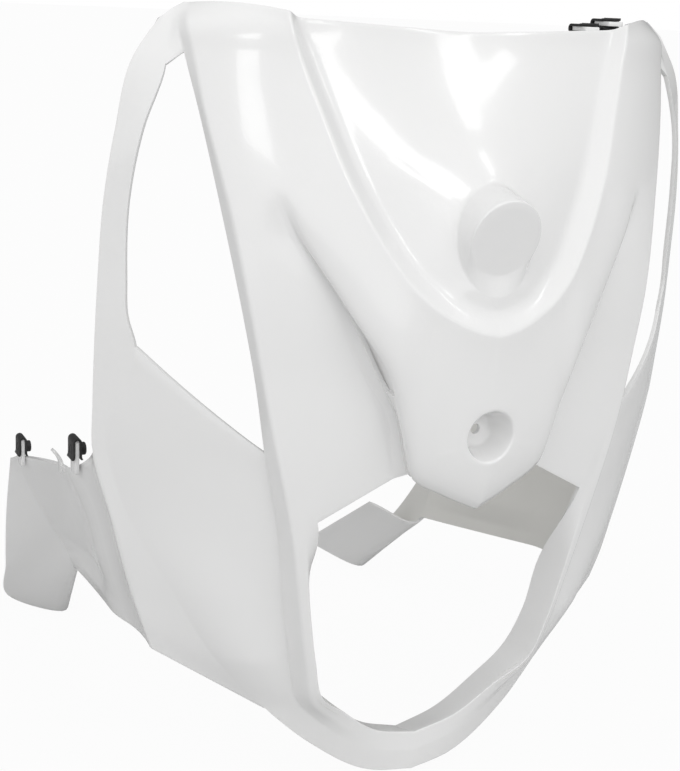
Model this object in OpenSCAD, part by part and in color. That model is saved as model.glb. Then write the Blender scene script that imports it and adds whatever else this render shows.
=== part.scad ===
// Front cover of a scooter: a moulded skin with two side windows, one lower opening,
// a valley with a bare badge place, a recessed screw place and two rear wings.
// X to the right, Y to the back, Z up, in millimetres; x = 0 is the middle plane.

/* [Overall size] */
// width over the two rims at the windows
cover_w = 460; // [400:1:520]
// depth from the chin to the foot of the wing flaps
cover_d = 415; // [360:1:460]
// height from the foot of the flaps to the top edge
cover_h = 542; // [480:1:600]
// thickness of the moulded wall
wall = 3; // [2.2:0.1:3.6]

/* [Badge place and screw place] */
// diameter of the bare round badge place
badge_d = 51; // [44:1:58]
// how far the badge place stands out of the valley at its middle
badge_out = 12; // [8:0.5:14]
// width of the screw recess at its mouth
recess_d = 35; // [30:1:42]
// width of the floor of the recess
recess_floor_d = 24; // [18:1:28]
// depth of the recess
recess_deep = 20; // [14:1:26]
// diameter of the screw hole in the floor
screw_d = 6.4; // [5:0.2:8]

/* [Clips] */
// length of a clip along the edge
clip_l = 14; // [10:1:18]
// width of the clip over both leaves
clip_w = 9; // [7:0.5:12]
// how deep the leaves reach over the edge
clip_deep = 14; // [10:1:18]
// thickness of a clip leaf
clip_t = 1.6; // [1.2:0.1:2.2]
// clearance between a leaf and the wall it holds
clip_gap = 0; // [0:0.05:0.3]
// diameter of the bore through a clip
clip_bore = 5; // [4:0.2:6]

/* [Hidden] */
$fn = 48;

// Rails run from the top edge down. Their knots sit at the same sixteen levels:
// top, chamfer, window top, three down the pillar, slot foot, window foot, wing top,
// opening top, two down the opening, opening corner, and three along the chin.
centre = [[0,-13,531],[0,-17,521],[0,-22,509],[0,-37,476],[0,-52,446],[0,-60,424],
    [0,-64,410],[0,-67,398],[0,-68,391],[0,-69,385],[0,-70,377],[0,-71,369]];
valley = [[118,-9,536],[115,-11,525],[110,-15,512],[99,-25,482],[84,-38,444],[67,-49,411],
    [52,-58,389],[38,-64,376],[29,-68,369],[20,-70,365],[9,-71.5,361.5],[0,-72,360]];
ridge = [[126,-15,540],[124,-18,529],[120,-21,514],[109,-32,480],[95,-46,440],[76,-59,402],
    [59,-67.5,378],[42,-73,363],[32,-75,357],[22,-77,352],[10,-78.5,348],[0,-79,346]];
hood = [[146,5,542],[150,-1,529],[149,-5,515],[143,-18,475],[131,-33,423],[95,-52,360],
    [71,-63,321],[61,-61.5,290],[55,-61.5,270],[49,-60,252],[25,-61.5,237],[0,-62,225]];
groove = [[150,7,542],[153,0,529],[152,-4,515],[146,-16,475],[133,-31,422],[91,-42,360],
    [68,-49,321],[55,-49,288],[50,-49,268],[45,-49,250]];
lip = [[154,10,542],[156,1,529],[155,-3,515],[149,-15,475],[135,-30,421],[100,-41,357],
    [80,-43,321],[61,-46,288],[57,-46,267],[54,-46,247]];
fold = [[166,21,542],[170,9,529],[168,4,514],[163,-6,480],[152,-22,422],[140,-34.5,358],
    [131,-38,317],[120,-39,268],[114,-39.5,248],[104,-38.5,220],[96,-6,152],[90,-1,114],
    [80,9,80],[60,15,58],[32,20,35],[0,22,24]];
mouth = [[168,23,542],[172,11,529],[170,6,514],[166,-4,480],[155,-21,422],[144,-33.5,358],
    [136,-36.5,317],[126,-38,268],[121,-38,248],[113,-37,216],[101,-30,148],[94,-26,114],
    [84,-20,82],[64,-13,65],[32,-7,41],[0,-6,33]];
pillar = [[174,26,542],[180,14,529],[178,9,514],[174,-1,480],[163,-18,422],[152,-31,358],
    [144,-34,317],[134,-36.5,268],[129,-37,248],[120,-35,210],[108,-28,150],[100,-23,112],
    [90,-16,78],[70,-10,58],[33,-6,33],[0,-6,25]];
inner = [[177,28,542],[183,20,527],[181,16,513],[175,9,480],[167,-3,421],[155,-14,357],
    [147,-18,316],[138,-20,266],[135,-20,247],[126,-18,208],[114,-12,150],[106,-7,112],
    [96,-2,75],[74,-4,52],[34,-5,26],[0,-6,18]];
low = [[184,30,538],[191,27,522],[192,18,505],[206,19,466],[213,23,422],[214,24,374],
    [213.5,23,350],[209,20,331],[221,38,270],[213,38,230],[177,21,155],[150,15,108],
    [113,11,65],[80,4,35],[34,-1,7],[0,-4,2]];
rim = [[192,30,532],[201,31,520],[207,31,511],[219,32,464],[225,34,424],[228,37,370],
    [229,39,335],[229,43,290],[228,46,255],[217,44,212],[202,44,155],[194,43,130],
    [187,44,110]];
flank = [[226,110,222],[214,105,190],[203,110,150],[195,111,125],[190,111,107]];
rear = [[218,278,180],[206,280,160],[190,280,135],[178,280,112],[170,277,99],[146,345,92]];
foot = [[216,300,172],[212,330,120],[202,375,50],[190,415,0],[154,363,0],[131,447,0]];

// steps between two knot levels, and between two rails
row_steps = [1,1,2,3,4,3,2,2,2,4,3,2,2,2,2];
across = [6,1,6,1,1,5,1,1,1,6,2,4,5,4];

rails = [centre, valley, ridge, hood, groove, lip, fold, mouth, pillar, inner, low, rim,
    flank, rear, foot];
// knot level at which each rail begins
begins = [0, 0, 0, 0, 0, 0, 0, 0, 0, 0, 0, 0, 8, 8, 8];
size = [cover_w / 460, cover_d / 415, cover_h / 542];

function sum_to(list, n) = n <= 0 ? 0 : list[n - 1] + sum_to(list, n - 1);
// rails are drawn from the chin, and the origin lies under the middle of the cover
footprint_mid = 183.5;
function spot(p) = [p[0] * size[0], (p[1] - footprint_mid) * size[1], p[2] * size[2]];
function unit(v) = v / max(norm(v), 0.0001);

row_n = sum_to(row_steps, len(row_steps)) + 1;
col_n = sum_to(across, len(across)) + 1;
// knot coordinate of every row, and rail coordinate of every column
row_at = concat([for (k = [0:len(row_steps) - 1]) for (t = [0:row_steps[k] - 1]) k + t / row_steps[k]],
    [len(row_steps)]);
col_at = concat([for (s = [0:len(across) - 1]) for (t = [0:across[s] - 1]) s + t / across[s]],
    [len(across)]);

// slope of a rail at a knot, weighted by the distance to both neighbours
function slope(k, pts) =
    let (n = len(pts) - 1)
    k == 0 ? (pts[1] - pts[0]) / norm(pts[1] - pts[0]) :
    k == n ? (pts[n] - pts[n - 1]) / norm(pts[n] - pts[n - 1]) :
    let (a = pts[k] - pts[k - 1], b = pts[k + 1] - pts[k], da = norm(a), db = norm(b))
    (a / da * db + b / db * da) / (da + db);
function on_curve(pts, q) =
    let (n = len(pts) - 1, k = min(floor(q), n - 1), t = q - k, d = norm(pts[k + 1] - pts[k]))
    (2 * t * t * t - 3 * t * t + 1) * pts[k]
    + (t * t * t - 2 * t * t + t) * d * slope(k, pts)
    + (3 * t * t - 2 * t * t * t) * pts[k + 1]
    + (t * t * t - t * t) * d * slope(k + 1, pts);
function has(r, q) = q >= begins[r] && q <= begins[r] + len(rails[r]) - 1;
function on_rail(r, q) = on_curve(rails[r], q - begins[r]);

// how far a field between two rails bellies out of the straight line between them
function belly(s, q) =
    s == 0 ? [0, -3 * (1 - q / 11), 0] :
    s == 2 ? [0, -0.65 * q, 0] :
    s == 5 ? [0, -3 * sin(20 * min(q, 9)), 0] :
    s == 9 && q >= 7 ? [3, -6, 0] * max(0, min(1, 12 - q)) :
    s == 11 ? [-4, 0, 0] :
    s == 12 ? [-8, 0, 0] : [0, 0, 0];
// the hood bellies out most in its lower part, so that it stands upright around the screw recess
function bulge(s, u) = s == 2 ? 3.9 * pow(u, 1.5) * sqrt(1 - u) : 4 * u * (1 - u);
function skin(q, c) =
    let (s = min(floor(c), len(across) - 1), u = c - s)
    u == 0 ? (has(s, q) ? on_rail(s, q) : undef) :
    u == 1 ? (has(s + 1, q) ? on_rail(s + 1, q) : undef) :
    has(s, q) && has(s + 1, q) ?
        on_rail(s, q) * (1 - u) + on_rail(s + 1, q) * u + bulge(s, u) * belly(s, q) : undef;

grid = [for (q = row_at) [for (c = col_at) let (p = skin(q, c)) p == undef ? undef : spot(p)]];

// fields of the skin that are moulded: the rest are the windows, the opening and the slots
function moulded(i, j) =
    i < 0 || j < 0 || i >= row_n - 1 || j >= col_n - 1 ? false :
    let (k = floor(row_at[i]), s = floor(col_at[j]))
    s <= 2 ? k < 11 :
    s == 4 && k == 5 ? false :
    s <= 5 ? k < 9 :
    s <= 8 ? true :
    s == 9 ? k < 2 || k >= 7 :
    s == 10 ? k < 12 :
    s <= 12 ? k >= 8 && k < 12 : k >= 8 && k < 13;
function middle(i, j) = grid[i][j] != undef && abs(grid[i][j][0]) < 0.01;
function beside(i, j, di, dj) =
    let (a = di == 0 ? (dj > 0 ? [[i, j], [i - 1, j]] : [[i, j - 1], [i - 1, j - 1]])
        : (di > 0 ? [[i, j], [i, j - 1]] : [[i - 1, j], [i - 1, j - 1]]))
    moulded(a[0][0], a[0][1]) || moulded(a[1][0], a[1][1]) ? grid[i + di][j + dj] :
    middle(i, j) && !middle(i - di, j - dj) ? let (o = grid[i - di][j - dj]) [-o[0], o[1], o[2]]
        : grid[i][j];
// where both steps lie in the middle plane, the normal is square to them within that plane
function outward(i, j) =
    let (a = beside(i, j, 1, 0) - beside(i, j, -1, 0), b = beside(i, j, 0, 1) - beside(i, j, 0, -1),
        t = a + b)
    abs(a[0]) < 0.01 && abs(b[0]) < 0.01 ? unit([0, t[2], -t[1]]) : unit(cross(a, b));
function corner_used(i, j) =
    moulded(i, j) || moulded(i - 1, j) || moulded(i, j - 1) || moulded(i - 1, j - 1);

back = [for (i = [0:row_n - 1]) [for (j = [0:col_n - 1])
    corner_used(i, j) ? grid[i][j] - wall * outward(i, j) : [0, 0, 0]]];
function flip(p, side) = side == 0 ? p : [-p[0], p[1], p[2]];
count = row_n * col_n;
function id(i, j, side, layer) =
    i * col_n + j + (side == 1 && !middle(i, j) ? count : 0) + layer * 2 * count;
skin_points = concat(
    [for (side = [0, 1]) for (i = [0:row_n - 1]) for (j = [0:col_n - 1])
        corner_used(i, j) ? flip(grid[i][j], side) : [0, 0, 0]],
    [for (side = [0, 1]) for (i = [0:row_n - 1]) for (j = [0:col_n - 1]) flip(back[i][j], side)]);
function turned(face, side) = side == 0 ? face : [for (n = [len(face) - 1:-1:0]) face[n]];
function edge_wall(i1, j1, i2, j2, side) =
    turned([id(i2, j2, side, 0), id(i1, j1, side, 0), id(i1, j1, side, 1), id(i2, j2, side, 1)], side);
function on_middle(i1, j1, i2, j2) = middle(i1, j1) && middle(i2, j2);
skin_faces = [for (side = [0, 1]) for (i = [0:row_n - 2]) for (j = [0:col_n - 2]) if (moulded(i, j))
    each concat(
        [turned([id(i, j, side, 0), id(i, j + 1, side, 0), id(i + 1, j, side, 0)], side),
         turned([id(i, j + 1, side, 0), id(i + 1, j + 1, side, 0), id(i + 1, j, side, 0)], side),
         turned([id(i + 1, j, side, 1), id(i, j + 1, side, 1), id(i, j, side, 1)], side),
         turned([id(i + 1, j, side, 1), id(i + 1, j + 1, side, 1), id(i, j + 1, side, 1)], side)],
        moulded(i - 1, j) || on_middle(i, j, i, j + 1) ? [] : [edge_wall(i, j, i, j + 1, side)],
        moulded(i, j + 1) || on_middle(i, j + 1, i + 1, j + 1) ? [] :
            [edge_wall(i, j + 1, i + 1, j + 1, side)],
        moulded(i + 1, j) || on_middle(i + 1, j, i + 1, j + 1) ? [] :
            [edge_wall(i + 1, j + 1, i + 1, j, side)],
        moulded(i, j - 1) || on_middle(i, j, i + 1, j) ? [] : [edge_wall(i + 1, j, i, j, side)])];

// the badge place faces the front and a little down, while the valley behind it leans back
badge_tilt = 14.5;
valley_tilt = 13;
valley_at = spot([0, -64.5, 408.5]);
badge_at = valley_at - [0, badge_out, 0];
recess_at = spot([0, -76.5, 279]);
badge_r = badge_d / 2;
badge_draft = 0.25;
recess_draft = (recess_d - recess_floor_d) / 2 / recess_deep;
tab_l = clip_l + 2;
tab_high = clip_deep + 3;
// middle of the edge under each tab: wing rear, wing front, and the two at the top
rear_tab_at = spot([217, 262, 184]);
front_tab_at = spot([225.5, 92, 234]);
top_in_at = spot([102, -9, 536]);
top_out_at = spot([120, -9, 540]);
// how far the wing turns inwards at its two tabs
rear_turn = 2.7;
front_turn = 1.8;

// skin and wall of the whole cover in one piece
module moulding() {
    polyhedron(points = skin_points, faces = skin_faces, convexity = 12);
}

// flat tab on an edge: its plate is thin in X and reaches down to its root in the wall
module tab(root) {
    difference() {
        translate([-wall / 2, -tab_l / 2, -root])
        cube([wall, tab_l, tab_high + root]);
        translate([-wall, 0, tab_high - clip_deep * 0.55])
        rotate([0, 90, 0])
        cylinder(d = clip_bore, h = 2 * wall);
    }
}

// U-shaped clip nut over the top of a tab
module clip_nut() {
    leaf_x = wall / 2 + clip_gap;
    difference() {
        union() {
            translate([leaf_x, -clip_l / 2, tab_high - clip_deep])
            cube([clip_t, clip_l, clip_deep + clip_t]);
            translate([-leaf_x - clip_t, -clip_l / 2, tab_high - clip_deep])
            cube([clip_t, clip_l, clip_deep + clip_t]);
            translate([-leaf_x - clip_t, -clip_l / 2, tab_high])
            cube([2 * leaf_x + 2 * clip_t, clip_l, clip_t]);
            translate([-leaf_x - clip_t - 4, 0, tab_high - clip_deep * 0.55])
            rotate([0, 90, 0])
            cylinder(d = clip_w, h = 4 + clip_t / 2);
        }
        translate([-leaf_x - clip_t - 5, 0, tab_high - clip_deep * 0.55])
        rotate([0, 90, 0])
        cylinder(d = clip_bore, h = 2 * leaf_x + 2 * clip_t + 6);
    }
}

// turns a tab or a clip so that it points to the back, lying flat
module lying() {
    multmatrix([[0, 1, 0, 0], [0, 0, 1, 0], [1, 0, 0, 0], [0, 0, 0, 1]])
    children();
}

module both_sides() {
    children();
    mirror([1, 0, 0])
    children();
}

// drafted boss of the badge place, shrunk by the wall for its hollow back
module badge_cone(shrink) {
    long = 3 * badge_out;
    translate(badge_at)
    rotate([badge_tilt - 90, 0, 0])
    translate([0, 0, shrink])
    cylinder(r1 = badge_r + shrink * (badge_draft - 1), r2 = badge_r + long * badge_draft - shrink, h = long - shrink);
}

// all that lies in front of the back of the valley wall, behind the badge place
module before_valley() {
    translate(valley_at + [0, wall + 5, 0])
    rotate([-valley_tilt, 0, 0])
    translate([-60, -60, -60])
    cube([120, 60, 120]);
}

module front_cover() {
    color("white")
    difference() {
        union() {
            moulding();
            intersection() {
                badge_cone(0);
                before_valley();
            }
            translate(recess_at + [0, wall / 2, 0])
            rotate([-90, 0, 0])
            cylinder(r1 = recess_d / 2 + wall * 0.8, r2 = recess_floor_d / 2 + wall, h = recess_deep + wall / 2);
            both_sides() {
                translate(rear_tab_at) rotate([0, 0, rear_turn]) tab(6);
                translate(front_tab_at) rotate([0, 0, front_turn]) tab(8);
                translate(top_in_at) lying() tab(0);
                translate(top_out_at) lying() tab(1.5);
            }
        }
        badge_cone(wall);
        translate(recess_at - [0, 12, 0])
        rotate([-90, 0, 0])
        cylinder(r1 = recess_d / 2 + 12 * recess_draft, r2 = recess_floor_d / 2, h = recess_deep + 12);
        translate(recess_at)
        rotate([-90, 0, 0])
        cylinder(d = screw_d, h = recess_deep + 2 * wall);
    }
}

module wing_clip_right_rear() {
    color("black")
    translate(rear_tab_at) rotate([0, 0, rear_turn]) clip_nut();
}

module wing_clip_left_rear() {
    color("black")
    mirror([1, 0, 0])
    translate(rear_tab_at) rotate([0, 0, rear_turn]) clip_nut();
}

module wing_clip_right_front() {
    color("black")
    translate(front_tab_at) rotate([0, 0, front_turn]) clip_nut();
}

module wing_clip_left_front() {
    color("black")
    mirror([1, 0, 0])
    translate(front_tab_at) rotate([0, 0, front_turn]) clip_nut();
}

module top_clip_inner() {
    color("black")
    translate(top_in_at) lying() clip_nut();
}

module top_clip_outer() {
    color("black")
    translate(top_out_at) lying() clip_nut();
}

front_cover();
wing_clip_right_rear();
wing_clip_left_rear();
wing_clip_right_front();
wing_clip_left_front();
top_clip_inner();
top_clip_outer();
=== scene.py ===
import bpy
import math
import numpy as np
from mathutils import Euler, Matrix, Quaternion, Vector


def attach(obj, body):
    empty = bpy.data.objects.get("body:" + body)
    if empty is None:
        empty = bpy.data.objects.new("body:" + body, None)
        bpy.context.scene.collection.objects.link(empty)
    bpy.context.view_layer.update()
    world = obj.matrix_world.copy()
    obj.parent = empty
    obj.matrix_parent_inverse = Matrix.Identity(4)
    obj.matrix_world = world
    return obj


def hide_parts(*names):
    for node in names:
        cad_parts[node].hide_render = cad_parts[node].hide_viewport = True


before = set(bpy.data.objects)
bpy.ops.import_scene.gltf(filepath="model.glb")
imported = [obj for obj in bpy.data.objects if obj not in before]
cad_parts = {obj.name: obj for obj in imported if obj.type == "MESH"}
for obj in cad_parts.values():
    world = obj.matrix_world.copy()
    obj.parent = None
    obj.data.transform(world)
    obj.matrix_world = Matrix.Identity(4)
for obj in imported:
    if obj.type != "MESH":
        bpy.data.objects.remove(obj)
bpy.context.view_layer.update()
print("frame loaded")

# shapes are drawn in millimetres from the chin, and place() sets them in metres over the footprint's middle
footprintMid = 183.5


def place(points):
    return (np.asarray(points, float) - [0, footprintMid, 0]) * 0.001


class Wire:
    # a socket that takes part in sums; colours and vectors go through Mix and VectorMath instead
    def __init__(self, tree, socket=None):
        self.tree, self.socket = tree, socket

    def node(self, kind, settings=None, links=None, out=0):
        made = self.tree.nodes.new("ShaderNode" + kind)
        for key, value in (settings or {}).items():
            setattr(made, key, value)
        for key, value in (links or {}).items():
            if isinstance(value, Wire):
                self.tree.links.new(value.socket, made.inputs[key])
            else:
                made.inputs[key].default_value = value
        return Wire(self.tree, made.outputs[out] if len(made.outputs) else None)

    def maths(self, operation, left, right):
        return self.node("Math", {"operation": operation}, {0: left, 1: right})

    def __add__(self, other):
        return self.maths("ADD", self, other)

    __radd__ = __add__

    def __sub__(self, other):
        return self.maths("SUBTRACT", self, other)

    def __rsub__(self, other):
        return self.maths("SUBTRACT", other, self)

    def __mul__(self, other):
        return self.maths("MULTIPLY", self, other)

    __rmul__ = __mul__

    def tint(self, low, high):
        # colour that runs from low to high as this value runs from 0 to 1
        low, high = [shade if isinstance(shade, Wire) else (*shade, 1) for shade in (low, high)]
        return self.node("Mix", {"data_type": "RGBA"}, {0: self, 6: low, 7: high}, out=2)


def newMaterial(name):
    material = bpy.data.materials.new(name)
    material.use_nodes = True
    material.node_tree.nodes.clear()
    return material, Wire(material.node_tree)


def finishMaterial(wire, sockets):
    # the surface shader, with the values and links of its sockets
    wire.node("OutputMaterial", {}, {"Surface": wire.node("BsdfPrincipled", {}, sockets)})


# the third paint colour is painted shade: darker paint for creases and hollows, where shade falls on the
# clean moulding
paint = {"low": (0.80, 0.80, 0.795), "high": (0.835, 0.835, 0.835), "hollowShade": (0.74, 0.735, 0.72),
         "roughness": 0.16, "peel": 0.05, "coat": 0.5, "coatRoughness": 0.06}


def glossPaint():
    material, wire = newMaterial("glossPaint")
    where = wire.node("TexCoord", out="Object")
    drift = wire.node("TexNoise", {}, {"Vector": where, "Scale": 5.0, "Detail": 3.0})
    specks = wire.node("TexNoise", {}, {"Vector": where, "Scale": 900.0, "Detail": 2.0})
    # painted shade: where pointiness finds a concave crease or hollow, the paint is mixed towards the darker
    # shade colour
    hollows = wire.node("NewGeometry", out="Pointiness")
    shadeInHollows = wire.node("MapRange", {}, {0: hollows, 1: 0.49, 2: 0.44, 3: 0.0, 4: 0.35})
    peel = wire.node("TexNoise", {}, {"Vector": where, "Scale": 330.0, "Detail": 1.5, "Roughness": 0.4})
    waves = wire.node("TexNoise", {}, {"Vector": where, "Scale": 28.0, "Detail": 1.0})
    relief = {"Strength": paint["peel"], "Distance": 0.0006, "Height": peel + 3.0 * waves}
    finishMaterial(wire, {
        "Base Color": shadeInHollows.tint(drift.tint(paint["low"], paint["high"]), paint["hollowShade"]),
        "Roughness": paint["roughness"] + 0.05 * drift + 0.04 * (specks - 0.5),
        "Normal": wire.node("Bump", {}, relief),
        "IOR": 1.5, "Coat Weight": paint["coat"], "Coat Roughness": paint["coatRoughness"], "Coat IOR": 1.5})
    return material


rawPlastic = {"low": (0.70, 0.695, 0.665), "high": (0.78, 0.775, 0.75), "roughness": 0.42, "grain": 0.12}


def innerPlastic():
    # the unpainted back of the moulding
    material, wire = newMaterial("innerPlastic")
    where = wire.node("TexCoord", out="Object")
    cloud = wire.node("TexNoise", {}, {"Vector": where, "Scale": 9.0, "Detail": 4.0})
    grain = wire.node("TexVoronoi", {}, {"Vector": where, "Scale": 1100.0})
    relief = {"Strength": rawPlastic["grain"], "Distance": 0.0003, "Height": grain}
    finishMaterial(wire, {
        "Base Color": cloud.tint(rawPlastic["low"], rawPlastic["high"]),
        "Roughness": rawPlastic["roughness"] + 0.12 * cloud,
        "Normal": wire.node("Bump", {}, relief)})
    return material


blackSteel = {"low": (0.010, 0.010, 0.011), "high": (0.035, 0.034, 0.034), "roughness": 0.42}


def clipSteel():
    material, wire = newMaterial("clipSteel")
    where = wire.node("TexCoord", out="Object")
    cloud = wire.node("TexNoise", {}, {"Vector": where, "Scale": 260.0, "Detail": 5.0})
    drawn = wire.node("Mapping", {}, {"Vector": where, "Scale": (1.0, 1.0, 14.0)})
    scratch = wire.node("TexNoise", {}, {"Vector": drawn, "Scale": 500.0, "Detail": 3.0})
    edge = wire.node("NewGeometry", out="Pointiness")
    worn = wire.node("MapRange", {}, {0: edge, 1: 0.53, 2: 0.6, 3: 0.0, 4: 1.0})
    finishMaterial(wire, {
        "Base Color": (cloud * 0.7 + worn * 0.5).tint(blackSteel["low"], blackSteel["high"]),
        "Roughness": blackSteel["roughness"] + 0.2 * scratch,
        "Metallic": worn * 0.8,
        "Normal": wire.node("Bump", {}, {"Strength": 0.2, "Distance": 0.0002, "Height": scratch})})
    return material


paintMaterial, innerMaterial, clipMaterial = glossPaint(), innerPlastic(), clipSteel()
print("materials made")

# rails run down the right half from the top edge, and knot n of every rail lies at level n;
# those in railStart begin at a lower level
rails = {
    "centre": [[0,-13,531],[0,-17,521],[0,-22,509],[0,-38,476],[0,-54.5,446],[0,-63.5,424],
               [0,-68,410],[0,-70.5,398],[0,-71.3,391],[0,-71.8,385],[0,-72,377],[0,-72,369]],
    "valley": [[118,-9,536],[115,-11,525],[110,-15,512],[99,-25,482],[84,-38,444],[67,-49,411],
               [52,-58,389],[38,-64,376],[29,-68,369],[20,-70,365],[9,-71.5,361.5],[0,-72,360]],
    "ridge": [[126,-15,540],[124,-18,529],[120,-21,514],[109,-32,480],[95,-46,440],[76,-59,402],
              [59,-67.5,378],[42,-73,363],[32,-75,357],[22,-77,352],[10,-78.5,348],[0,-79,346]],
    "hood": [[146,5,542],[150,-1,529],[149,-5,515],[143,-18,475],[131,-33,423],[95,-52,360],
             [71,-63,321],[61,-61.5,290],[55,-61.5,270],[49,-60,252],[25,-61.5,237],[0,-62,225]],
    "groove": [[150,7,542],[153,0,529],[152,-4,515],[146,-16,475],[133,-31,422],[91,-42,360],
               [73,-47,321],[55,-49,288],[50,-49,268],[45,-49,250]],
    "lip": [[154,10,542],[156,1,529],[155,-3,515],[149,-15,475],[135,-30,421],[100,-41,357],
            [80,-43,321],[61,-46,288],[57,-46,267],[54,-46,247]],
    "fold": [[166,21,542],[170,9,529],[168,4,514],[163,-6,480],[152,-22,422],[140,-34.5,358],
             [131,-38,317],[120,-39,268],[114,-39.5,248],[104,-38.5,220],[96,-6,152],[90,-1,114],
             [80,9,80],[60,15,58],[32,20,35],[0,22,24]],
    "mouth": [[168,23,542],[172,11,529],[170,6,514],[166,-4,480],[155,-21,422],[144,-33.5,358],
              [136,-36.5,317],[126,-38,268],[121,-38,248],[113,-37,216],[101,-30,148],[94,-26,114],
              [84,-20,82],[64,-13,65],[32,-7,41],[0,-6,33]],
    "pillar": [[174,26,542],[180,14,529],[178,9,514],[174,-1,480],[163,-18,422],[152,-31,358],
               [144,-34,317],[134,-36.5,268],[129,-37,248],[120,-35,210],[108,-28,150],[100,-23,112],
               [90,-16,78],[70,-10,58],[33,-6,33],[0,-6,25]],
    "inner": [[177,28,542],[183,20,527],[181,16,513],[175,6,480],[164.5,-8,421],[153.5,-21,357],
              [145.5,-24,316],[136.5,-23,266],[132.5,-22,247],[123.5,-20,208],[114,-12,150],[106,-7,112],
              [96,-2,75],[74,-4,52],[34,-5,26],[0,-6,18]],
    "low": [[184,30,538],[187.5,23,522],[192,18,505],[206,19,466],[213,23,422],[214,24,374],
            [213.5,23,350],[209,20,331],[221,38,270],[213,38,230],[177,21,155],[150,15,108],
            [113,11,65],[80,4,35],[34,-1,7],[0,-4,2]],
    "rim": [[192,30,532],[201,31,520],[207,31,511],[219,32,464],[225,34,424],[228,37,370],
            [229,39,335],[229,43,290],[228,46,255],[217,44,212],[202,44,155],[194,43,130],
            [187,44,110]],
    "flank": [[226,110,222],[214,105,190],[203,110,150],[195,111,125],[190,111,107]],
    "rear": [[218,278,180],[206,280,153],[190,280,120],[178,280,99],[170,277,79],[146,345,74]],
    "foot": [[216,300,172],[212,330,120],[202,375,50],[190,415,0],[154,363,0],[131,447,0]],
}
railStart = {"flank": 8, "rear": 8, "foot": 8}
# a field lies between its own rail and the next one, and is plastic between these levels;
# the rest is window, lower opening or open air
moulded = {
    "centre": [(0, 11)], "valley": [(0, 11)], "ridge": [(0, 11)], "hood": [(0, 9)], "groove": [(0, 9)],
    "lip": [(0, 9)], "fold": [(0, 15)], "mouth": [(0, 15)], "pillar": [(0, 15)], "inner": [(0, 2), (7, 15)],
    "low": [(0, 12)], "rim": [(8, 12)], "flank": [(8, 12)], "rear": [(8, 13)],
}
# which way a field swells out between its rails, and how strongly at level q
bellies = {
    "centre": ((0, -3, 0), lambda q: 1 - q / 11),
    "ridge": ((0, -0.65, 0), lambda q: q),
    "lip": ((0, -3, 0), lambda q: math.sin(math.radians(20 * min(q, 9)))),
    "inner": ((3, -6, 0), lambda q: max(0, min(1, 12 - q)) if q >= 7 else 0),
    "rim": ((-4, 0, 0), lambda q: 1),
    "flank": ((-8, 0, 0), lambda q: max(0.15, min(1, 11.6 - q))),
}
# rows from level to level, columns across each field, and the radius of the rounded crease along each rail
cover = {
    "wall": 3.0,
    "rowSteps": [4, 4, 8, 13, 15, 10, 12, 6, 10, 15, 10, 9, 9, 10, 10],
    "fieldSteps": [16, 4, 20, 4, 2, 12, 4, 2, 4, 12, 6, 14, 30, 22],
    "creases": [14, 6, 2.2, 1.6, 1.2, 1.2, 1.0, 1.0, 2.0, 1.2, 2.0, 2.5, 18, 2.5, 1],
    "edgeRound": 0.7,
}
# the front panel is one smooth sweep from the ridge to the pillar until the hood step starts,
# and from the lip to the pillar further down
sweeps = [{"rails": ("ridge", "pillar"), "full": 3.9, "gone": 4.25, "bow": 3.0},
          {"rails": ("lip", "pillar"), "full": 7.2, "gone": 8.7, "bow": 2.0}]

railNames = list(rails)
railCount, fieldCount = len(rails), len(rails) - 1
railPoints = [np.array(points, float) for points in rails.values()]
railFrom = [railStart.get(name, 0) for name in railNames]


def bendAt(start, corner, end, t):
    # a rounded turn from start to end, pulled towards the corner
    return start * (1 - t) ** 2 + 2 * corner * t * (1 - t) + end * t**2


def slopeAt(points, k):
    last = len(points) - 1
    if k == 0 or k == last:
        step = points[1] - points[0] if k == 0 else points[last] - points[last - 1]
        return step / np.linalg.norm(step)
    before, after = points[k] - points[k - 1], points[k + 1] - points[k]
    nearBefore, nearAfter = np.linalg.norm(before), np.linalg.norm(after)
    return (before / nearBefore * nearAfter + after / nearAfter * nearBefore) / (nearBefore + nearAfter)


def onCurve(points, q):
    k = min(int(math.floor(q + 1e-9)), len(points) - 2)
    t, reach = q - k, np.linalg.norm(points[k + 1] - points[k])
    return ((2 * t**3 - 3 * t**2 + 1) * points[k] + (t**3 - 2 * t**2 + t) * reach * slopeAt(points, k)
            + (3 * t**2 - 2 * t**3) * points[k + 1] + (t**3 - t**2) * reach * slopeAt(points, k + 1))


def onRail(r, q):
    local = q - railFrom[r]
    if local < -1e-9 or local > len(railPoints[r]) - 1 + 1e-9:
        return None
    return onCurve(railPoints[r], min(max(local, 0), len(railPoints[r]) - 1))


def isMoulded(field, k):
    # whether the field is plastic from level k to the next
    return any(first <= k < last for first, last in moulded[railNames[field]])


def fadeOut(q, full, gone):
    t = min(max((q - full) / (gone - full), 0), 1)
    return 1 - t * t * (3 - 2 * t)


def sweepOut(point, q, across):
    # draws a point of the front panel onto the sweep; across counts rails, from the centre out
    for sweep in reversed(sweeps):
        first, last = [railNames.index(name) for name in sweep["rails"]]
        weight = fadeOut(q, sweep["full"], sweep["gone"])
        if weight == 0 or not first < across < last:
            continue
        start, end = onRail(first, q), onRail(last, q)
        chord, down = end - start, onRail(last, q + 0.05) - onRail(last, q)
        out = np.cross(chord, down)
        out *= -np.sign(out[1]) / np.linalg.norm(out)
        t = np.dot(point - start, chord) / np.dot(chord, chord)
        point = point * (1 - weight) + weight * (start + chord * t + out * sweep["bow"] * 4 * t * (1 - t))
    return point


def fieldPoint(field, q, u, on):
    # the point a share u of the way across a field, between its two rail points
    point = on[field] * (1 - u) + on[field + 1] * u
    name = railNames[field]
    if name in bellies:
        towards, strength = bellies[name]
        # the ridge's field swells most near the hood's edge, and the others in the middle
        swell = 3.9 * u**1.5 * math.sqrt(max(0, 1 - u)) if name == "ridge" else 4 * u * (1 - u)
        point = point + swell * (np.array(towards) * strength(q))
    return sweepOut(point, q, field + u)


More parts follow.
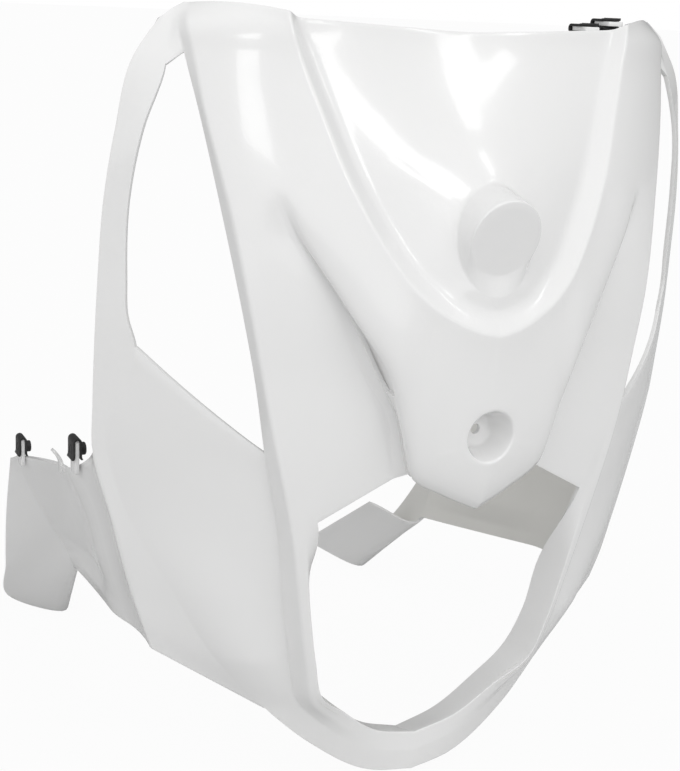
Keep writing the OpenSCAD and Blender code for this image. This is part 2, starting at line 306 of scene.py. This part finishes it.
# the skin is a grid: a column on each rail, two on either side of it for the rounded crease,
# and the rest spread over the fields
rowAt = [k + t / steps for k, steps in enumerate(cover["rowSteps"]) for t in range(steps)]
rowAt.append(float(len(cover["rowSteps"])))
rowKnot = [min(int(q + 1e-9), len(cover["rowSteps"]) - 1) for q in rowAt]
railColumn = [sum(cover["fieldSteps"][:r]) + 4 * r for r in range(railCount)]
rowCount, colCount = len(rowAt), railColumn[-1] + 1
cellField = [max(r for r in range(railCount) if railColumn[r] <= j) for j in range(colCount - 1)]


def creaseShares(field, on):
    # where the creases of the field's two rails end, as shares of its width
    width = max(np.linalg.norm(on[field + 1] - on[field]), 1e-6)
    near, far = [min(radius / width, 0.3) for radius in cover["creases"][field:field + 2]]
    return near, 1 - far


def skinRow(i):
    q = rowAt[i]
    levels = {rowKnot[i]}
    if abs(q - round(q)) < 1e-9 and round(q) > 0:
        levels.add(round(q) - 1)
    on = [onRail(r, q) for r in range(railCount)]
    here = [any(isMoulded(s, k) for k in levels) and on[s] is not None and on[s + 1] is not None
            for s in range(fieldCount)]
    shares = [creaseShares(s, on) if here[s] else None for s in range(fieldCount)]
    row = [None] * colCount
    for r in range(railCount):
        if on[r] is None:
            continue
        m = railColumn[r]
        before = fieldPoint(r - 1, q, shares[r - 1][1], on) if r > 0 and here[r - 1] else None
        after = fieldPoint(r, q, shares[r][0], on) if r < fieldCount and here[r] else None
        if r == 0 and after is not None:
            before = after * [-1, 1, 1]
        corner = sweepOut(on[r], q, r)
        if before is not None and after is not None:
            if r > 0:
                row[m - 2], row[m - 1] = before, bendAt(before, corner, after, 0.25)
            row[m], row[m + 1] = bendAt(before, corner, after, 0.5), bendAt(before, corner, after, 0.75)
            row[m + 2] = after
        elif before is not None:
            row[m - 2], row[m - 1], row[m] = before, (before + corner) / 2, corner
        elif after is not None:
            row[m], row[m + 1], row[m + 2] = corner, (corner + after) / 2, after
        if after is not None:
            first, last = shares[r]
            steps = cover["fieldSteps"][r]
            for step in range(1, steps):
                row[m + 2 + step] = fieldPoint(r, q, first + (last - first) * step / steps, on)
    return row


skin = [skinRow(i) for i in range(rowCount)]
print("skin worked out:", rowCount, "rows,", colCount, "columns")


class Shell:
    # gathers points and faces of the outer skin; side 0 is the right half and side 1 its mirror image
    def __init__(self):
        self.points, self.faces, self.index = [], [], {}

    def point(self, p):
        self.points.append(p)
        return len(self.points) - 1

    def corner(self, side, i, j):
        p = skin[i][j]
        if p is None:
            return None
        middle = abs(p[0]) < 1e-4
        key = (0 if middle else side, i, j)
        if key not in self.index:
            self.index[key] = self.point([0.0 if middle else (p[0] if side == 0 else -p[0]), p[1], p[2]])
        return self.index[key]

    def face(self, corners, side=0):
        kept = [c for n, c in enumerate(corners) if c != corners[n - 1]]
        if len(kept) > 2:
            self.faces.append(kept if side == 0 else kept[::-1])


shell = Shell()

# the round places: a block of cells between two levels comes out of the skin and rings of points go in
badge = {"centre": (0, -76.5, 408.5), "radius": 25.4, "tilt": 14.5, "footAt": 405.0, "footWide": 27.4,
         "footTall": 35.0, "footRound": 2.0, "rimRound": 1.4, "levels": (3.7, 11), "share": 0.75}
recess = {"centre": (0, -76.4, 279.0), "radius": 17.4, "floorRadius": 12.0, "deep": 20.0, "screw": 3.2,
          "edgeRound": 1.6, "floorRound": 2.4, "levels": (9.2, 11), "shares": (0.30, 0.80)}
hoodSlot = {"from": 4.95, "to": 6.4}


def rowNear(q):
    return min(range(rowCount), key=lambda i: abs(rowAt[i] - q))


def colNear(name, share):
    field = railNames.index(name)
    return railColumn[field] + 2 + round(share * cover["fieldSteps"][field])


badgeRows = [rowNear(q) for q in badge["levels"]]
badgeCols = [0, colNear("centre", badge["share"])]
recessRows = [rowNear(q) for q in recess["levels"]]
recessCols = [colNear("ridge", share) for share in recess["shares"]]
slotCols = [railColumn[railNames.index("hood")], railColumn[railNames.index("groove")] - 2]


def isCut(i, j):
    if hoodSlot["from"] <= rowAt[i] < hoodSlot["to"] and slotCols[0] <= j < slotCols[1]:
        return True
    return any(rows[0] <= i < rows[1] and cols[0] <= j < cols[1]
               for rows, cols in ((badgeRows, badgeCols), (recessRows, recessCols)))


def addSkin():
    for i in range(rowCount - 1):
        for j in range(colCount - 1):
            if not isMoulded(cellField[j], rowKnot[i]) or isCut(i, j):
                continue
            for side in (0, 1):
                quad = [shell.corner(side, i, j), shell.corner(side, i + 1, j),
                        shell.corner(side, i + 1, j + 1), shell.corner(side, i, j + 1)]
                if None not in quad:
                    shell.face(quad, side)


def blockLoop(cells):
    # outer edge of a block of grid corners, once round
    loop = []
    for key in cells:
        n = shell.corner(*key)
        if not loop or loop[-1] != n:
            loop.append(n)
    if loop[0] == loop[-1]:
        loop.pop()
    return loop


def fitPatch(rows, cols, power=8):
    # a smooth y = f(x, z) through the skin around a block
    cells = [(i, j) for i in range(rows[0], rows[1] + 1) for j in range(cols[0], cols[1] + 1)]
    where = np.array([skin[i][j] for i, j in cells if skin[i][j] is not None])
    where = np.concatenate([where, where * [-1, 1, 1]])
    zMid = where[:, 2].mean()
    x, z = where[:, 0] / 50, (where[:, 2] - zMid) / 50
    terms = [(a, b) for a in range(0, power + 1, 2) for b in range(power + 1 - a)]
    solved = np.linalg.lstsq(np.stack([x**a * z**b for a, b in terms], 1), where[:, 1], rcond=None)[0]

    def surface(px, pz):
        return sum(c * (px / 50) ** a * ((pz - zMid) / 50) ** b for c, (a, b) in zip(solved, terms))

    return surface


def pointsOf(ring):
    return np.array([shell.points[n] for n in ring])


def joinRings(first, second):
    count = len(first)
    for n in range(count):
        shell.face([first[n], first[(n + 1) % count], second[(n + 1) % count], second[n]][::-1])


def addRing(last, points):
    ring = [shell.point(list(p)) for p in points]
    joinRings(last, ring)
    return ring


def addBend(last, start, corner, end, shares=(0.33, 0.66, 1.0)):
    for share in shares:
        last = addRing(last, bendAt(start, corner, end, share))
    return last


def ringsBetween(loop, surface, goal, count=5):
    # rings that run over the surface from the block's edge to the goal, a point in x and z for each corner
    edge = pointsOf(loop)
    offset = edge[:, 1] - np.array([surface(p[0], p[2]) for p in edge])
    rings = [loop]
    for step in range(1, count + 1):
        t = step / count
        xz = edge[:, [0, 2]] * (1 - t) + goal * t
        rings.append([shell.point([x, surface(x, z) + (1 - t) * off, z]) for (x, z), off in zip(xz, offset)])
    for first, second in zip(rings, rings[1:]):
        joinRings(first, second)
    return rings


def angleOf(loop, x, z):
    edge = pointsOf(loop)
    return np.arctan2(edge[:, 2] - z, edge[:, 0] - x)


def addBadgePlace():
    (top, bottom), col = badgeRows, badgeCols[1]
    loop = blockLoop([(0, top, j) for j in range(0, col)] + [(0, i, col) for i in range(top, bottom + 1)]
                     + [(1, i, col) for i in range(bottom, top, -1)]
                     + [(1, top, j) for j in range(col, 0, -1)])
    angles = angleOf(loop, 0, badge["footAt"])
    oval = np.array([(badge["footWide"] * math.cos(a), badge["footAt"] + badge["footTall"] * math.sin(a))
                     for a in angles])
    rings = ringsBetween(loop, fitPatch(badgeRows, badgeCols), oval)
    tilt, centre = math.radians(badge["tilt"]), np.array(badge["centre"], float)

    def onDisc(radius):
        return np.array([centre + np.array([radius * math.cos(a), -radius * math.sin(a) * math.sin(tilt),
                                            radius * math.sin(a) * math.cos(tilt)]) for a in angles])

    # the last ring moves out a little, for a rounded foot
    last, base, outer, rim = rings[-1], pointsOf(rings[-1]), pointsOf(rings[-2]), onDisc(badge["radius"])
    gap = np.linalg.norm(outer - base, axis=1)[:, None]
    foot = base + (outer - base) / gap * np.minimum(badge["footRound"], 0.7 * gap)
    for n, p in zip(last, foot):
        shell.points[n] = list(p)
    inward, flatRadius = rim - base, badge["radius"] - badge["rimRound"]
    last = addBend(last, foot, base, base + inward * 0.12, (0.25, 0.5, 0.75))
    for share in (0.12, 0.4, 0.7, 0.93):
        last = addRing(last, base + inward * share)
    last = addBend(last, base + inward * 0.93, rim, onDisc(flatRadius))
    for share in (0.8, 0.6, 0.4, 0.2):
        last = addRing(last, onDisc(flatRadius * share))
    middle = shell.point(list(centre))
    for n in range(len(last)):
        shell.face([last[n], middle, last[(n + 1) % len(last)]])


def addRecess():
    (top, bottom), (left, right) = recessRows, recessCols
    loop = blockLoop([(0, i, left) for i in range(top, bottom)]
                     + [(1, i, left) for i in range(bottom, top, -1)]
                     + [(1, top, j) for j in range(left, right)] + [(1, i, right) for i in range(top, bottom)]
                     + [(0, i, right) for i in range(bottom, top, -1)]
                     + [(0, top, j) for j in range(right, left, -1)])[::-1]
    surface = fitPatch(recessRows, recessCols)
    midZ, floorY = recess["centre"][2], recess["centre"][1] + recess["deep"]
    angles = angleOf(loop, 0, midZ)

    def around(radius):
        return np.array([[radius * math.cos(a), floorY, midZ + radius * math.sin(a)] for a in angles])

    last = ringsBetween(loop, surface, around(recess["radius"] + recess["edgeRound"])[:, [0, 2]])[-1]
    lip, floorEdge = around(recess["radius"]), around(recess["floorRadius"])
    lip[:, 1] = [surface(p[0], p[2]) for p in lip]
    down = floorEdge - lip
    last = addBend(last, pointsOf(last), lip, lip + down * 0.09)
    for share in (0.35, 0.6, 0.88):
        last = addRing(last, lip + down * share)
    last = addBend(last, lip + down * 0.88, floorEdge, around(recess["floorRadius"] - recess["floorRound"]))
    for radius in (recess["floorRadius"] - 4.5, recess["screw"] + 1.2, recess["screw"] + 0.3):
        last = addRing(last, around(radius))


slotPocket = {"from": 4.5, "to": 6.9, "deep": 20.0, "rows": 30}


def addSlotPocket():
    # a return wall that runs back from the hood edge, behind the slot
    for side in (0, 1):
        turn = [1, 1, 1] if side == 0 else [-1, 1, 1]
        previous = None
        for n in range(slotPocket["rows"] + 1):
            q = slotPocket["from"] + (slotPocket["to"] - slotPocket["from"]) * n / slotPocket["rows"]
            hoodEdge = onRail(railNames.index("hood"), q) + [-2.4, 1.2, 0]
            shelf = onRail(railNames.index("groove"), q)
            deep = slotPocket["deep"] * math.sin(math.pi * n / slotPocket["rows"]) ** 0.5
            ring = [shell.point(list(np.array(p) * turn)) for p in
                    (hoodEdge, hoodEdge * 0.5 + shelf * 0.5 + [-3, deep * 0.5, 0], shelf + [-4, deep, 2])]
            if previous:
                for a in range(2):
                    shell.face([previous[a], ring[a], ring[a + 1], previous[a + 1]], side)
            previous = ring


addSkin()
addBadgePlace()
addRecess()
addSlotPocket()
print("badge place, recess and slots worked in")


def makeMesh(name, points, faces, materials):
    mesh = bpy.data.meshes.new(name)
    mesh.from_pydata([tuple(p) for p in points], [], faces)
    mesh.validate()
    piece = bpy.data.objects.new(name, mesh)
    bpy.context.scene.collection.objects.link(piece)
    for material in materials:
        mesh.materials.append(material)
    for polygon in mesh.polygons:
        polygon.use_smooth = True
    return piece


def freeze(piece, sharpAngle):
    # applies the piece's modifiers and keeps its sharp edges
    held = bpy.context.evaluated_depsgraph_get()
    mesh = bpy.data.meshes.new_from_object(piece.evaluated_get(held), depsgraph=held)
    old = piece.data
    piece.modifiers.clear()
    piece.data = mesh
    bpy.data.meshes.remove(old)
    mesh.set_sharp_from_angle(angle=math.radians(sharpAngle))


def roundEdges(piece, width, fromAngle):
    soft = piece.modifiers.new("edges", "BEVEL")
    soft.width, soft.segments = width * 0.001, 2
    soft.limit_method, soft.angle_limit = "ANGLE", math.radians(fromAngle)


def addCover():
    skins = [paintMaterial, innerMaterial]
    piece = makeMesh("coverMoulding", place(shell.points), shell.faces, skins)
    thick = piece.modifiers.new("wall", "SOLIDIFY")
    thick.thickness, thick.offset = cover["wall"] * 0.001, -1
    thick.use_even_offset, thick.use_quality_normals = False, True
    thick.material_offset, thick.material_offset_rim = 1, 0
    roundEdges(piece, cover["edgeRound"], 62)
    freeze(piece, 50)
    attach(piece, "root")
    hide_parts("front_cover")
    return piece


coverPiece = addCover()
print("cover made:", len(coverPiece.data.polygons), "faces")

tab = {"thick": 3.0, "wide": 12.0, "high": 17.0, "corner": 3.0, "bore": 2.5, "boreDown": 7.7,
       "edgeRound": 0.4}
# where each tab stands on its edge, how far it turns with the wing, and how deep its root goes
tabPlaces = {
    "rear": {"at": [217, 262, 184], "turn": 2.7, "root": 6},
    "front": {"at": [225.5, 92, 234], "turn": 1.8, "root": 8},
    "inner": {"at": [102, -9, 536], "turn": None, "root": 0},
    "outer": {"at": [120, -9, 540], "turn": None, "root": 1.5},
}
tongue = {"at": [216.3, 156, 208.5], "turn": 2.0, "wide": 9.0, "thick": 2.2,
          "path": [(0, -3), (0, 3), (0.6, 6), (2, 9), (4, 12), (6, 14)]}
clip = {"deep": 14.0, "long": 14.0, "leaf": 1.6, "flare": 0.9, "collar": 4.5, "collarOut": 4.0, "bore": 2.5,
        "edgeRound": 0.25}


def stand(shape, where, right=True):
    # takes a shape from a tab's own frame, thin in X and standing in Z, to its place on the edge
    points, faces = np.asarray(shape[0], float), shape[1]
    if where["turn"] is None:
        points = points[:, [1, 2, 0]] + where["at"]
    else:
        c, s = math.cos(math.radians(where["turn"])), math.sin(math.radians(where["turn"]))
        points = points @ np.array([[c, s, 0], [-s, c, 0], [0, 0, 1]]) + where["at"]
    return (points, faces) if right else (points * [-1, 1, 1], [f[::-1] for f in faces])


def lathe(profile, count=32):
    # turns (radius, x) pairs round the X axis through the bore
    middle, turns = tab["high"] - tab["boreDown"], [2 * math.pi * n / count for n in range(count)]
    points = [(x, r * math.cos(turn), middle + r * math.sin(turn)) for r, x in profile for turn in turns]
    faces = []
    for a in range(len(profile) - 1):
        for n in range(count):
            m = (n + 1) % count
            faces.append((a * count + n, a * count + m, (a + 1) * count + m, (a + 1) * count + n))
    return points, faces


def bentSheet(inside, outside, half):
    # a strip between two matching lines in X and Z, as wide as 2 * half in Y
    count = len(inside)
    points = [(x, y, z) for y in (-half, half) for x, z in list(inside) + list(outside)]
    faces = []
    for n in range(count - 1):
        a, b, c, d = n, n + 1, count + n + 1, count + n
        faces += [(a, b, c, d), (d + 2 * count, c + 2 * count, b + 2 * count, a + 2 * count)]
        faces += [(d, c, c + 2 * count, d + 2 * count), (b, a, a + 2 * count, b + 2 * count)]
    last = count - 1
    faces.append((0, count, 3 * count, 2 * count))
    faces.append((last + count, last, last + 2 * count, last + 3 * count))
    return points, faces


def join(shapes):
    points, faces = [], []
    for shapePoints, shapeFaces in shapes:
        faces += [tuple(n + len(points) for n in f) for f in shapeFaces]
        points += list(shapePoints)
    return points, faces


def clipShape():
    # a spring leaf folded over the tab, with a screw collar on one side and a low ring on the other
    low, bend, near = tab["high"] - clip["deep"], tab["high"] - tab["thick"] / 2, tab["thick"] / 2
    far = near + clip["leaf"]
    leaf = [(low, clip["flare"]), (low + 0.8, clip["flare"] * 0.6), (low + 2.0, 0.1), (low + 5, 0),
            (bend - 3, 0)]
    inside = [(-near - out, z) for z, out in leaf]
    outside = [(-far - out, z) for z, out in leaf]
    for n in range(13):
        turn = math.pi * (1 - n / 12)
        inside.append((near * math.cos(turn), bend + near * math.sin(turn)))
        outside.append((far * math.cos(turn), bend + far * math.sin(turn)))
    inside += [(near + out, z) for z, out in reversed(leaf)]
    outside += [(far + out, z) for z, out in reversed(leaf)]
    bore, wide, out = clip["bore"], clip["collar"], far + clip["collarOut"]
    collar = lathe([(bore, -near), (bore, 0.4 - out), (bore + 0.4, -out), (wide - 0.5, -out),
                    (wide, 0.5 - out), (wide, -far + 0.2)])
    ring = lathe([(bore, near), (bore, far), (bore + 0.2, far + 0.35), (bore + 1.1, far + 0.35),
                  (bore + 1.3, far - 0.1)])
    return join([bentSheet(inside, outside, clip["long"] / 2), collar, ring])


def tabShape(root):
    # a plate with rounded top corners and a screw hole
    half, high, corner, count = tab["wide"] / 2, tab["high"], tab["corner"], 48
    middle = high - tab["boreDown"]
    turns = [2 * math.pi * n / count for n in range(count)]
    outline = []
    for turn in turns:
        y, z = math.cos(turn), math.sin(turn)
        room = high - middle if z > 0 else middle + root
        reach = min(half / max(abs(y), 1e-6), room / max(abs(z), 1e-6))
        y, z = y * reach, z * reach
        if abs(y) > half - corner and z > high - middle - corner:
            over = np.array([abs(y) - half + corner, z - (high - middle) + corner])
            over *= corner / np.linalg.norm(over)
            y, z = math.copysign(half - corner + over[0], y), high - middle - corner + over[1]
        outline.append((y, middle + z))
    hole = [(tab["bore"] * math.cos(turn), middle + tab["bore"] * math.sin(turn)) for turn in turns]
    points = [(x, y, z) for x in (-tab["thick"] / 2, tab["thick"] / 2) for y, z in outline + hole]
    faces = []
    for n in range(count):
        m = (n + 1) % count
        # outline and hole on one side of the plate, then on the other
        (a, b), (c, d), (e, f), (g, h) = [(n + k * count, m + k * count) for k in range(4)]
        faces += [(c, d, b, a), (e, f, h, g), (a, b, f, e), (d, c, g, h)]
    return points, faces


def tongueShape():
    # a thin strip that curls outwards as it rises
    half = tongue["thick"] / 2
    path = np.array(tongue["path"], float)
    along = np.gradient(path, axis=0)
    beside = np.stack([-along[:, 1], along[:, 0]], 1) / np.linalg.norm(along, axis=1)[:, None] * half
    return bentSheet(path - beside, path + beside, tongue["wide"] / 2)


def addTabs():
    shapes = []
    standing = [(tabShape(where["root"]), where) for where in tabPlaces.values()] + [(tongueShape(), tongue)]
    for shape, where in standing:
        for right in (True, False):
            if right or where["turn"] is not None:      # the tabs of the top edge stand on the right only
                shapes.append(stand(shape, where, right))
    points, faces = join(shapes)
    piece = makeMesh("edgeTabs", place(points), faces, [paintMaterial])
    roundEdges(piece, tab["edgeRound"], 40)
    freeze(piece, 40)
    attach(piece, "root")


def addClip(node, where, right):
    points, faces = stand(clipShape(), where, right)
    piece = makeMesh(node + "Steel", place(points), faces, [clipMaterial])
    roundEdges(piece, clip["edgeRound"], 40)
    freeze(piece, 40)
    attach(piece, "root")
    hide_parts(node)


addTabs()
for end in ("rear", "front"):
    addClip("wing_clip_right_" + end, tabPlaces[end], True)
    addClip("wing_clip_left_" + end, tabPlaces[end], False)
for end in ("inner", "outer"):
    addClip("top_clip_" + end, tabPlaces[end], True)
print("tabs and clips added")

# front is where the dome is brightest, and dim and bright are its strengths behind and in front
studio = {"floorZ": -0.0036, "floorSize": 80.0, "floorGlow": 0.95, "front": (-0.33, -0.83, 0.45),
          "dim": 0.31, "bright": 1.29, "aim": (0, -0.2, 0.45)}


def addFloor():
    # the camera sees a nearly white floor, which takes the cover's shadow
    half, z = studio["floorSize"] / 2, studio["floorZ"]
    mesh = bpy.data.meshes.new("floor")
    corners = [(-half, -half, z), (half, -half, z), (half, half, z), (-half, half, z)]
    mesh.from_pydata(corners, [], [(0, 1, 2, 3)])
    floor = bpy.data.objects.new("floor", mesh)
    bpy.context.scene.collection.objects.link(floor)
    material, wire = newMaterial("paleFloor")
    plain = wire.node("BsdfPrincipled", {}, {"Base Color": (0.6, 0.6, 0.6, 1), "Roughness": 0.9})
    glow = wire.node("Emission", {}, {"Color": (1, 1, 1, 1), "Strength": 1.0})
    path = wire.node("LightPath", out="Is Camera Ray") + wire.node("LightPath", out="Is Transmission Ray")
    seen = wire.maths("MINIMUM", path, 1.0) * studio["floorGlow"]
    wire.node("OutputMaterial", {}, {"Surface": wire.node("MixShader", {}, {0: seen, 1: plain, 2: glow})})
    mesh.materials.append(material)


def addWorld():
    # a soft dome, brightest in front and above; the camera sees plain white
    world = bpy.data.worlds.new("studio")
    bpy.context.scene.world = world
    world.use_nodes = True
    world.node_tree.nodes.clear()
    wire = Wire(world.node_tree)
    facing = wire.node("VectorMath", {"operation": "DOT_PRODUCT"},
                       {0: wire.node("TexCoord", out="Generated"), 1: studio["front"]}, out="Value")
    glow = wire.node("MapRange", {"interpolation_type": "SMOOTHSTEP"},
                     {0: facing, 1: -0.4, 2: 0.95, 3: studio["dim"], 4: studio["bright"]})
    path = wire.node("LightPath", out="Is Camera Ray")
    sky = wire.node("Background", {}, {"Color": (1, 1, 1, 1), "Strength": path + (1 - path) * glow})
    wire.node("OutputWorld", {}, {"Surface": sky})


def addLamp(name, azimuth, elevation, size, power, roll=0, far=2.4):
    # a soft box in the direction azimuth (from the front towards +X) and elevation, in degrees
    lamp = bpy.data.lights.new(name, "AREA")
    lamp.shape, lamp.size, lamp.size_y, lamp.energy = "RECTANGLE", size[0], size[1], power
    box = bpy.data.objects.new(name, lamp)
    bpy.context.scene.collection.objects.link(box)
    turn, rise = math.radians(azimuth), math.radians(elevation)
    away = Vector((math.sin(turn) * math.cos(rise), -math.cos(turn) * math.cos(rise), math.sin(rise)))
    box.location = Vector(studio["aim"]) + away * far
    facing = (-away).to_track_quat("-Z", "Y")
    box.rotation_euler = (facing @ Quaternion((0, 0, 1), math.radians(roll))).to_euler()


addFloor()
addWorld()
addLamp("ridgeBox", 10, 26, (0.36, 0.6), 2.5, roll=12)
addLamp("valleyBox", 41, 36, (0.17, 0.4), 0.9)
addLamp("panelBox", -34, 16, (0.38, 0.24), 1.05)

# the focal length is in pixels of a frame that is frameHigh pixels high
view = {"from": (-0.5072, -1.0079, 0.5486), "turn": (75.0295, -2.6539, -27.1062), "focal": 1450.0,
        "frameHigh": 771.0, "sensor": 36.0}


def addCamera():
    camera = bpy.data.objects.new("camera", bpy.data.cameras.new("camera"))
    bpy.context.scene.collection.objects.link(camera)
    camera.data.sensor_width = view["sensor"]
    camera.data.lens = view["focal"] * view["sensor"] / view["frameHigh"]
    camera.data.clip_end = 50
    turn = Euler([math.radians(angle) for angle in view["turn"]])
    camera.matrix_world = Matrix.LocRotScale(Vector(view["from"]), turn, None)
    bpy.context.scene.camera = camera


addCamera()
bpy.context.scene.view_settings.view_transform = "Standard"
print("studio set")
